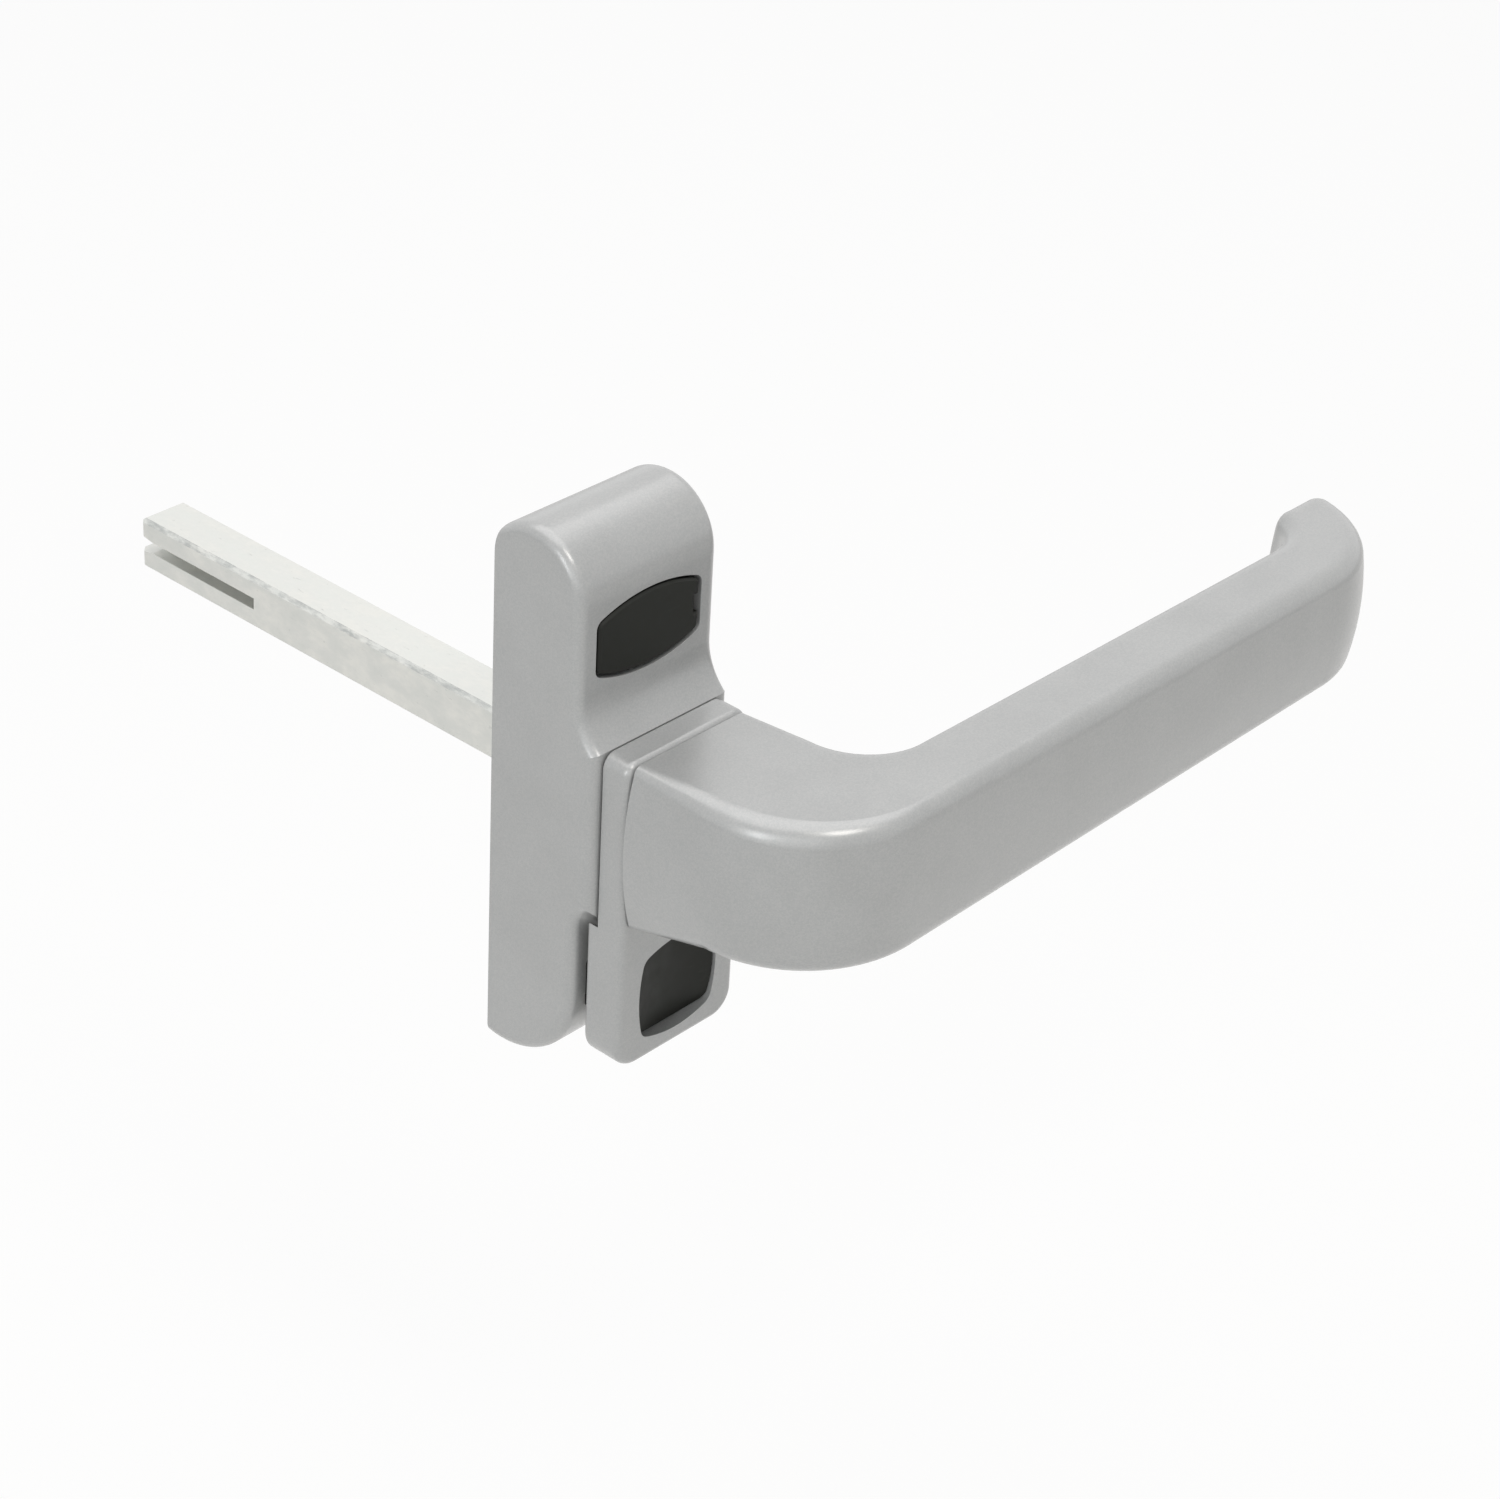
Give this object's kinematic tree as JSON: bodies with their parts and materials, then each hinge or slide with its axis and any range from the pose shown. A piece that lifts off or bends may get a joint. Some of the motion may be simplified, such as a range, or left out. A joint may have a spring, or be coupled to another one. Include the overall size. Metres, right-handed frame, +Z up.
{
  "type": "locking lever handle",
  "caption": "Lever handle on a narrow domed base, with a turning lock plate, a push button in its tail and a square spindle, for a hinged door or window.",
  "frame": {"origin": "where the spindle axis crosses the back plane of the base, midway between the fixing holes", "axes": "+X along the lever arm away from the base, +Y into the door along the spindle, +Z up the base"},
  "size_m": [0.1304, 0.1365, 0.0803],
  "materials": {
    "painted_casting": "silver metallic paint, satin",
    "black_plastic": "moulded satin",
    "white_acetal": "moulded",
    "zinc_plated_steel": "bright zinc plate",
    "spring_steel": "bright rolled",
    "black_steel": "black oxide"
  },
  "bodies": {
    "base": {"base_housing": "painted_casting", "upper_screw_cap": "black_plastic", "lock_keeper": "black_plastic", "neck_bush": "white_acetal", "thrust_washer": "zinc_plated_steel", "spring_keeper_upper": "white_acetal", "spring_keeper_lower": "white_acetal", "index_spring_left": "spring_steel", "index_spring_right": "spring_steel"},
    "lever": {"lever_handle": "painted_casting", "lock_plate": "painted_casting", "drive_pins": "zinc_plated_steel", "index_cam": "zinc_plated_steel", "disc_spring": "spring_steel", "retaining_ring": "spring_steel", "spindle": "zinc_plated_steel", "spindle_grub_screw": "black_steel", "button_retainer": "zinc_plated_steel", "retainer_screws": "zinc_plated_steel", "button_spring_left": "spring_steel", "button_spring_right": "spring_steel"},
    "button": {"lock_button": "black_plastic"}
  },
  "joints": [
    {"name": "lever_turn", "type": "hinge", "parent": "base", "child": "lever", "pos_m": [0, 0, 0], "axis": [0, 1, 0], "range_deg": [-90, 90], "deforming": ["index_spring_left", "index_spring_right"]},
    {"name": "button_press", "type": "slide", "parent": "lever", "child": "button", "axis": [0, 1, 0], "range_m": [0, 0.0024], "stiffness_N_per_m": 400, "springref_m": -0.002, "deforming": ["button_spring_left", "button_spring_right"]}
  ]
}
